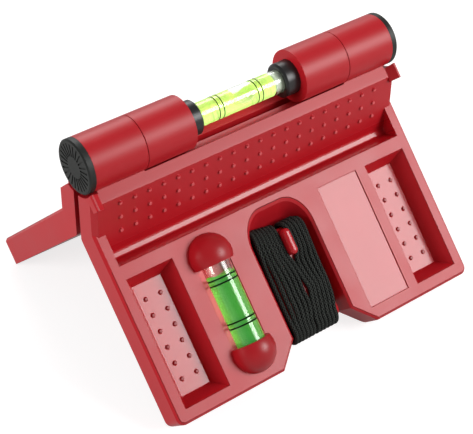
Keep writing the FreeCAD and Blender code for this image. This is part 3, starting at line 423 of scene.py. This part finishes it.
# The studs' tips are coloured pale: a painted highlight. The slopes of the pocket studs are
# coloured dark: painted shade.
wall_tips = region(nodes, links,
                   (off_wall, *WALL_TIPS, 0.2),
                   (leaf_place["out"], 8.0, 27.0, 0.1),
                   (aside.outputs[0], -1.0, 82.0, 0.1))
pocket_tips = region(nodes, links,
                     (leaf_place["out"], *STUD_TIPS, 0.1),
                     (aside.outputs[0], *STUDS_ASIDE, 0.1),
                     (leaf_place["down"], *STUDS_DOWN, 0.1))
pocket_slopes = region(nodes, links,
                       (leaf_place["out"], *STUD_SLOPES, 0.06),
                       (aside.outputs[0], *STUDS_ASIDE, 0.1),
                       (leaf_place["down"], *STUDS_DOWN, 0.1))
tips = combine(nodes, links, "MAXIMUM", wall_tips, pocket_tips)
# Painted highlight: the stud tips are coloured pale where they catch the lamp.
tips_painted_highlight = blend(nodes, links, tips, colour, (0.72, 0.11, 0.12))
# The mould is polished for the bare panel, for the floors of the grip pockets and for
# the trough, and blasted for the barrel.
panel = region(nodes, links,
               (across.outputs[0], *PANEL_ACROSS, 0.4),
               (leaf_place["down"], *PANEL_DOWN, 0.4))
floors = region(nodes, links,
                (aside.outputs[0], *POCKETS_ASIDE, 0.4),
                (leaf_place["down"], *POCKETS_DOWN, 0.4),
                (leaf_place["out"], *POCKET_FLOORS, 0.4))
polished = combine(nodes, links, "MAXIMUM", panel, floors, trough)
finish = add_node(nodes, "ShaderNodeMix", data_type="FLOAT")
finish.inputs["B"].default_value = 0.17
links.new(polished, finish.inputs["Factor"])
barrel = between(nodes, links, below.outputs[0], -0.08, -0.0265, 0.001)
handled = add_node(nodes, "ShaderNodeMix", data_type="FLOAT")
handled.inputs["B"].default_value = 0.42
links.new(barrel, handled.inputs["Factor"])
links.new(gloss.outputs["Result"], handled.inputs["A"])
links.new(handled.outputs["Result"], finish.inputs["A"])
links.new(finish.outputs["Result"], shader.inputs["Roughness"])
# A fine witness line runs where the bevels of the outer face begin.
witness = region(nodes, links,
                 (leaf_place["out"], 14.78, 14.93, 0.03),
                 (leaf_place["down"], 23.0, 110.0, 0.1))
# Painted shade: the slopes of the pocket studs are coloured dark.
slopes_painted_shade = blend(nodes, links, pocket_slopes, tips_painted_highlight, (0.32, 0.003, 0.008))
lined = blend(nodes, links, witness, slopes_painted_shade, (0.05, 0.001, 0.002))
links.new(lined, shader.inputs["Base Color"])
soft_edges = add_node(nodes, "ShaderNodeBevel", samples=6, Radius=0.00035)
links.new(soft_edges.outputs["Normal"], hollow.inputs["Normal"])
cap_red, *_ = moulded_plastic(
    "vial_cap_red", (0.36, 0.006, 0.010), (0.41, 0.008, 0.014), 0.34, 0.42, 0.45, 0.00003, 900.0)
dress(cap_red, "front_vial_cap_upper", "front_vial_cap_lower",
      "rear_vial_cap_upper", "rear_vial_cap_lower")
winder_red, *_ = moulded_plastic(
    "winder_red", (0.46, 0.008, 0.014), (0.53, 0.012, 0.020), 0.22, 0.30, 0.45, 0.00004, 1100.0)
dress(winder_red, "cord_winder")


# --- Hinge pins and end caps ---------------------------------------------------------
# Black nylon-like plastic. The pins are turned smooth where their collars show
# beside the vial; the end caps are moulded with a ring of grip grooves.
pin_black, *_ = moulded_plastic(
    "pin_black", (0.012, 0.012, 0.012), (0.020, 0.020, 0.020), 0.30, 0.40, 0.5, 0.00002, 900.0)
dress(pin_black, "hinge_pin_left", "hinge_pin_right")
cap_black, *_ = moulded_plastic(
    "end_cap_black", (0.008, 0.009, 0.008), (0.014, 0.015, 0.013),
    0.48, 0.58, 0.40, 0.00005, 1600.0)
dress(cap_black, "end_cap_left", "end_cap_right")


# --- Vial tubes and plugs -----------------------------------------------------------
# Clear moulded acrylic: round tubes with one closed end, a frosted plug welded into
# the other, and two printed pairs of black lines. The tubes throw no shadow, which
# would be far darker than a clear tube's.
ACRYLIC_IOR = 1.49
TUBES = ("hinge_vial_tube", "front_vial_tube", "rear_vial_tube")
clear_acrylic, nodes, links, shader = new_material("clear_acrylic")
grain = mould_grain(nodes, Cloud_Size=120.0)
haze = add_node(nodes, "ShaderNodeMapRange", To_Min=0.09, To_Max=0.13)
links.new(grain.outputs["Clouds"], haze.inputs["Value"])
links.new(haze.outputs["Result"], shader.inputs["Roughness"])
set_inputs(shader, Base_Color=(0.96, 0.99, 0.95, 1), Transmission_Weight=1.0, IOR=ACRYLIC_IOR)
dress(clear_acrylic, *TUBES)
for name in TUBES:
    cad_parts[name].visible_shadow = False

frosted_plug, nodes, links, shader = new_material("frosted_plug")
grain = mould_grain(nodes)
frost = add_node(nodes, "ShaderNodeMapRange", To_Min=0.18, To_Max=0.32)
links.new(grain.outputs["Grain"], frost.inputs["Value"])
links.new(frost.outputs["Result"], shader.inputs["Roughness"])
milk = blend(nodes, links, grain.outputs["Clouds"], (0.78, 0.88, 0.70), (0.90, 0.95, 0.86))
links.new(milk, shader.inputs["Base Color"])
set_inputs(shader, Transmission_Weight=0.45, IOR=ACRYLIC_IOR)
dress(frosted_plug, "hinge_vial_plug", "front_vial_plug", "rear_vial_plug")

vial_lines = bpy.data.node_groups.new("vial_lines", "GeometryNodeTree")
vial_lines.is_modifier = True
face = vial_lines.interface
for socket, value in (("Radius", 0.0062), ("Inner Gap", 0.020), ("Pair Gap", 0.003),
                      ("Line Width", 0.00075), ("Line Thickness", 0.00008)):
    face.new_socket(socket, in_out="INPUT", socket_type="NodeSocketFloat").default_value = value
face.new_socket("Ink", in_out="INPUT", socket_type="NodeSocketMaterial")
face.new_socket("Geometry", in_out="OUTPUT", socket_type="NodeSocketGeometry")
nodes, links = vial_lines.nodes, vial_lines.links
inside = nodes.new("NodeGroupInput")
outside = nodes.new("NodeGroupOutput")
hoop = nodes.new("GeometryNodeCurvePrimitiveCircle")
hoop.inputs["Resolution"].default_value = 96
links.new(inside.outputs["Radius"], hoop.inputs["Radius"])
band = nodes.new("GeometryNodeCurvePrimitiveQuadrilateral")
links.new(inside.outputs["Line Thickness"], band.inputs["Width"])
links.new(inside.outputs["Line Width"], band.inputs["Height"])
ring = nodes.new("GeometryNodeCurveToMesh")
links.new(hoop.outputs["Curve"], ring.inputs["Curve"])
links.new(band.outputs["Curve"], ring.inputs["Profile Curve"])
reach = add_node(nodes, "ShaderNodeMath", operation="ADD")
links.new(inside.outputs["Inner Gap"], reach.inputs[0])
links.new(inside.outputs["Pair Gap"], reach.inputs[1])
half = add_node(nodes, "ShaderNodeMath", operation="MULTIPLY_ADD")
half.inputs[1].default_value = -0.5
links.new(inside.outputs["Inner Gap"], half.inputs[0])
flip = add_node(nodes, "ShaderNodeMath", operation="MULTIPLY")
flip.inputs[1].default_value = -1.0
links.new(inside.outputs["Pair Gap"], flip.inputs[0])
links.new(flip.outputs[0], half.inputs[2])
start = nodes.new("ShaderNodeCombineXYZ")
links.new(half.outputs[0], start.inputs["Z"])
far = nodes.new("ShaderNodeCombineXYZ")
links.new(reach.outputs[0], far.inputs["Z"])
close = nodes.new("ShaderNodeCombineXYZ")
links.new(inside.outputs["Pair Gap"], close.inputs["Z"])
pairs = nodes.new("GeometryNodeMeshLine")
pairs.inputs["Count"].default_value = 2
links.new(start.outputs[0], pairs.inputs["Start Location"])
links.new(far.outputs[0], pairs.inputs["Offset"])
pair = nodes.new("GeometryNodeMeshLine")
pair.inputs["Count"].default_value = 2
links.new(close.outputs[0], pair.inputs["Offset"])
ring_pair = nodes.new("GeometryNodeInstanceOnPoints")
links.new(pair.outputs["Mesh"], ring_pair.inputs["Points"])
links.new(ring.outputs["Mesh"], ring_pair.inputs["Instance"])
all_rings = nodes.new("GeometryNodeInstanceOnPoints")
links.new(pairs.outputs["Mesh"], all_rings.inputs["Points"])
links.new(ring_pair.outputs["Instances"], all_rings.inputs["Instance"])
solid = nodes.new("GeometryNodeRealizeInstances")
links.new(all_rings.outputs["Instances"], solid.inputs["Geometry"])
inked = nodes.new("GeometryNodeSetMaterial")
links.new(solid.outputs["Geometry"], inked.inputs["Geometry"])
links.new(inside.outputs["Ink"], inked.inputs["Material"])
links.new(inked.outputs["Geometry"], outside.inputs["Geometry"])


def grow(name, tree, sizes, placed):
    """Run a geometry tree once, and keep its result as a plain mesh in its place."""
    seed = bpy.data.objects.new(name + "_seed", bpy.data.meshes.new(name + "_seed"))
    scene.collection.objects.link(seed)
    modifier = seed.modifiers.new("grow", "NODES")
    modifier.node_group = tree
    for item in tree.interface.items_tree:
        if item.in_out == "INPUT" and item.name in sizes:
            modifier[item.identifier] = sizes[item.name]
    bpy.context.view_layer.update()
    evaluated = seed.evaluated_get(bpy.context.evaluated_depsgraph_get())
    mesh = bpy.data.meshes.new_from_object(evaluated)
    seed.modifiers.clear()
    bpy.data.objects.remove(seed)
    mesh.transform(placed)
    mesh.name = name
    piece = bpy.data.objects.new(name, mesh)
    scene.collection.objects.link(piece)
    return piece


def along_hinge(middle, height):
    """Turns a piece's own Z along the hinge and moves it there."""
    return Matrix.Translation(Vector((middle, 0, height)) * MM) @ Matrix.Rotation(
        math.radians(90), 4, "Y")


def down_leaf(across, down, out, side):
    """Turns a piece's own Z down a leaf: side is -1 for the front leaf, 1 for the rear."""
    slant = math.sqrt(0.5)
    place = Vector((across, side * (down + out) * slant,
                    CORNER_HEIGHT + (out - down) * slant)) * MM
    down_way = Vector((0, side * slant, -slant))
    out_way = Vector((0, side * slant, slant))
    across_way = out_way.cross(down_way)
    turn = Matrix((across_way, out_way, down_way)).transposed().to_4x4()
    return Matrix.Translation(place) @ turn


line_ink, nodes, links, shader = new_material("line_ink")
grain = mould_grain(nodes)
fade = blend(nodes, links, grain.outputs["Grain"], (0.001, 0.001, 0.001), (0.006, 0.006, 0.006))
links.new(fade, shader.inputs["Base Color"])
set_inputs(shader, Roughness=0.5, Specular_IOR_Level=0.1)

PIVOT_HEIGHT = 112.945   # the hinge's axis above the table
VIAL_OUT = 16.85         # a leaf vial's axis above the inner face
VIAL_ACROSS = 42.3       # and to the side of the leaf's middle
LINES_DOWN = 60.2        # the middle of its lines, down the leaf
LEAF_LINES = {"Radius": 7.45 * MM, "Inner Gap": 20.1 * MM, "Pair Gap": 2.6 * MM,
              "Ink": line_ink}
hinge_lines = grow("hinge_vial_lines", vial_lines, {
    "Radius": 6.15 * MM, "Inner Gap": 21.1 * MM, "Pair Gap": 2.75 * MM,
    "Line Width": 0.55 * MM, "Ink": line_ink}, along_hinge(-1.0, PIVOT_HEIGHT))
front_lines = grow("front_vial_lines", vial_lines, LEAF_LINES,
                   down_leaf(-VIAL_ACROSS, LINES_DOWN, VIAL_OUT, -1))
rear_lines = grow("rear_vial_lines", vial_lines, LEAF_LINES,
                  down_leaf(VIAL_ACROSS, LINES_DOWN, VIAL_OUT, 1))
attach(hinge_lines, "front")
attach(front_lines, "front")
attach(rear_lines, "rear")


# --- Vial liquids -------------------------------------------------------------------
# Dyed spirit that fills each tube but for one air bubble. In the hinge vial the
# bubble lies along the top, and the spirit ends at the plug's nose. In the leaf
# vials, which slope, it stands in the upper end.
SPIRIT_IOR = 1.36


def rod(name, radius, length, placed):
    """A closed round rod with its own Z along it, from its start."""
    mesh = bpy.data.meshes.new(name)
    shape = bmesh.new()
    steps = 64
    rounding = 0.5
    shoulder = 0.15
    profile = [(radius - rounding, 0.0), (radius - shoulder, shoulder), (radius, rounding),
               (radius, length - rounding), (radius - shoulder, length - shoulder),
               (radius - rounding, length)]
    rings = []
    for out, along in profile:
        rings.append([shape.verts.new((out * math.cos(2 * math.pi * k / steps),
                                       out * math.sin(2 * math.pi * k / steps), along))
                      for k in range(steps)])
    for low, high in zip(rings, rings[1:]):
        for k in range(steps):
            shape.faces.new((low[k], low[(k + 1) % steps], high[(k + 1) % steps], high[k]))
    shape.faces.new(list(reversed(rings[0])))
    shape.faces.new(rings[-1])
    shape.to_mesh(mesh)
    shape.free()
    mesh.transform(placed @ Matrix.Diagonal((MM, MM, MM, 1)))
    piece = bpy.data.objects.new(name, mesh)
    scene.collection.objects.link(piece)
    return piece


def take_away(piece, tool):
    """Cut one mesh out of another, and drop the tool."""
    modifier = piece.modifiers.new("bubble", "BOOLEAN")
    modifier.object = tool
    modifier.solver = "EXACT"
    bpy.context.view_layer.update()
    evaluated = piece.evaluated_get(bpy.context.evaluated_depsgraph_get())
    mesh = bpy.data.meshes.new_from_object(evaluated)
    piece.modifiers.clear()
    piece.data = mesh
    bpy.data.objects.remove(tool)


def bubble(name, half_sizes, placed):
    """An air bubble, its own Z along the vial: the tool that hollows the liquid."""
    bluntness = 0.85
    mesh = bpy.data.meshes.new(name)
    shape = bmesh.new()
    bmesh.ops.create_icosphere(shape, subdivisions=5, radius=1.0)
    for vert in shape.verts:
        vert.co.z = math.copysign(abs(vert.co.z) ** bluntness, vert.co.z)
    shape.to_mesh(mesh)
    shape.free()
    mesh.transform(placed @ Matrix.Diagonal((*(Vector(half_sizes) * MM), 1)))
    tool = bpy.data.objects.new(name, mesh)
    scene.collection.objects.link(tool)
    return tool


def dyed_liquid(name, deep, pale, edge, clear, painted_glow):
    """Dyed spirit: paler where one looks along its wall, with a painted glow that shines
    whatever the light.
    """
    material, nodes, links, shader = new_material(name)
    grain = mould_grain(nodes, Cloud_Size=60.0)
    colour = blend(nodes, links, grain.outputs["Clouds"], deep, pale)
    rim = add_node(nodes, "ShaderNodeLayerWeight", Blend=0.45)
    rimmed = blend(nodes, links, rim.outputs["Facing"], colour, edge)
    links.new(rimmed, shader.inputs["Base Color"])
    # Painted glow: the dye's colour is also its emission.
    links.new(rimmed, shader.inputs["Emission Color"])
    set_inputs(shader, Emission_Strength=painted_glow, Transmission_Weight=clear, Roughness=0.03,
               IOR=SPIRIT_IOR)
    return material


yellow_dye = dyed_liquid("yellow_dye", (0.58, 0.90, 0.16), (0.66, 0.94, 0.22),
                         (0.86, 0.98, 0.58), 0.78, 0.32)
green_dye = dyed_liquid("green_dye", (0.04, 0.40, 0.08), (0.10, 0.48, 0.05),
                        (0.55, 0.90, 0.18), 0.72, 0.17)

hinge_liquid = rod("hinge_liquid", 4.94, 52.4, along_hinge(-31.45, PIVOT_HEIGHT))
take_away(hinge_liquid, bubble("hinge_bubble", (4.4, 5.6, 8.0),
                               along_hinge(2.6, PIVOT_HEIGHT + 2.0)))
hinge_liquid.data.materials.append(yellow_dye)
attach(hinge_liquid, "front")
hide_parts("hinge_vial_liquid")
plug_nose = rod("hinge_plug_nose", 4.9, 10.4, along_hinge(21.05, PIVOT_HEIGHT))
plug_nose.data.materials.append(frosted_plug)
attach(plug_nose, "front")


def leaf_liquid(name, across, side, body, node):
    """The liquid of a leaf's vial, hollowed by its bubble. It throws no shadow either."""
    liquid = rod(name, 6.24, 50.9, down_leaf(across, 36.05, VIAL_OUT, side))
    take_away(liquid, bubble(name + "_air", (9.0, 14.0, 9.6),
                             down_leaf(across, 38.0, VIAL_OUT + 0.4, side)))
    liquid.data.materials.append(green_dye)
    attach(liquid, body)
    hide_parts(node)
    liquid.visible_shadow = False


leaf_liquid("front_liquid", -VIAL_ACROSS, -1, "front", "front_vial_liquid")
leaf_liquid("rear_liquid", VIAL_ACROSS, 1, "rear", "rear_vial_liquid")


# --- Floor and light ----------------------------------------------------------------
# A plain white table that fades into the white room, one large soft lamp over the
# right shoulder, and two weaker ones that fill the left end and the back.
WHITE = (1, 1, 1, 1)
MIRRORED_SHARE = 0.35    # how bright table and room are in reflections
LIT_SPOT = (42.0, 62.0, 15.0)  # what the lamps point at, on the front leaf


def seen_rays(nodes, links):
    """1 where the camera sees a surface, straight or through the vials, less in reflections."""
    rays = nodes.new("ShaderNodeLightPath")
    mirrored = add_node(nodes, "ShaderNodeMath", operation="MULTIPLY")
    mirrored.inputs[1].default_value = MIRRORED_SHARE
    links.new(rays.outputs["Is Glossy Ray"], mirrored.inputs[0])
    return combine(nodes, links, "MAXIMUM", rays.outputs["Is Camera Ray"],
                   mirrored.outputs[0], rays.outputs["Is Transmission Ray"])


floor_mesh = bpy.data.meshes.new("floor")
shape = bmesh.new()
bmesh.ops.create_grid(shape, x_segments=1, y_segments=1, size=3.0)
shape.to_mesh(floor_mesh)
shape.free()
floor = bpy.data.objects.new("floor", floor_mesh)
scene.collection.objects.link(floor)
floor_white, nodes, links, shader = new_material("floor_white")
set_inputs(shader, Base_Color=(0.42, 0.42, 0.42, 1), Roughness=0.9, Specular_IOR_Level=0.0,
           Emission_Color=WHITE)
floor_place = nodes.new("ShaderNodeTexCoord")
way_out = add_node(nodes, "ShaderNodeVectorMath", operation="LENGTH")
links.new(floor_place.outputs["Object"], way_out.inputs[0])
sweep = add_node(nodes, "ShaderNodeMapRange", interpolation_type="SMOOTHSTEP",
                 From_Min=0.30, From_Max=0.80, To_Min=0.79, To_Max=1.0)
links.new(way_out.outputs["Value"], sweep.inputs["Value"])
lift = combine(nodes, links, "MULTIPLY", seen_rays(nodes, links), sweep.outputs["Result"])
links.new(lift, shader.inputs["Emission Strength"])
floor_mesh.materials.append(floor_white)

world = bpy.data.worlds.new("room")
scene.world = world
world.use_nodes = True
nodes, links = world.node_tree.nodes, world.node_tree.links
room = nodes["Background"]
set_inputs(room, Color=WHITE)
level = add_node(nodes, "ShaderNodeMapRange", To_Min=0.22)
links.new(seen_rays(nodes, links), level.inputs["Value"])
links.new(level.outputs["Result"], room.inputs["Strength"])
sky_place = nodes.new("ShaderNodeTexCoord")
sky_split = nodes.new("ShaderNodeSeparateXYZ")
links.new(sky_place.outputs["Generated"], sky_split.inputs[0])
ceiling = add_node(nodes, "ShaderNodeMapRange", interpolation_type="SMOOTHSTEP",
                   From_Min=0.30, From_Max=0.55, To_Min=1.0, To_Max=0.15)
links.new(sky_split.outputs["Z"], ceiling.inputs["Value"])
links.new(ceiling.outputs["Result"], level.inputs["To Max"])


def soft_lamp(name, direction, distance, width, watts):
    """A round soft lamp that faces the front leaf's outer face from afar."""
    lamp = bpy.data.lights.new(name, "AREA")
    lamp.shape = "DISK"
    lamp.size = width
    lamp.energy = watts
    thing = bpy.data.objects.new(name, lamp)
    scene.collection.objects.link(thing)
    way = Vector(direction).normalized()
    thing.location = on_front_leaf(*LIT_SPOT) + way * distance
    thing.rotation_euler = (-way).to_track_quat("-Z", "Y").to_euler()
    return thing


soft_lamp("key_lamp", (0.532, -0.651, 0.542), 1.6, 0.9, 21.0)
# The left lamp stays out of reflections and out of what shows through the vials.
left_lamp = soft_lamp("left_lamp", (-0.92, 0.18, 0.30), 1.6, 0.8, 16.0)
soft_lamp("back_lamp", (0.30, 0.75, 0.59), 1.6, 0.9, 9.0)
left_lamp.visible_glossy = False
left_lamp.visible_transmission = False
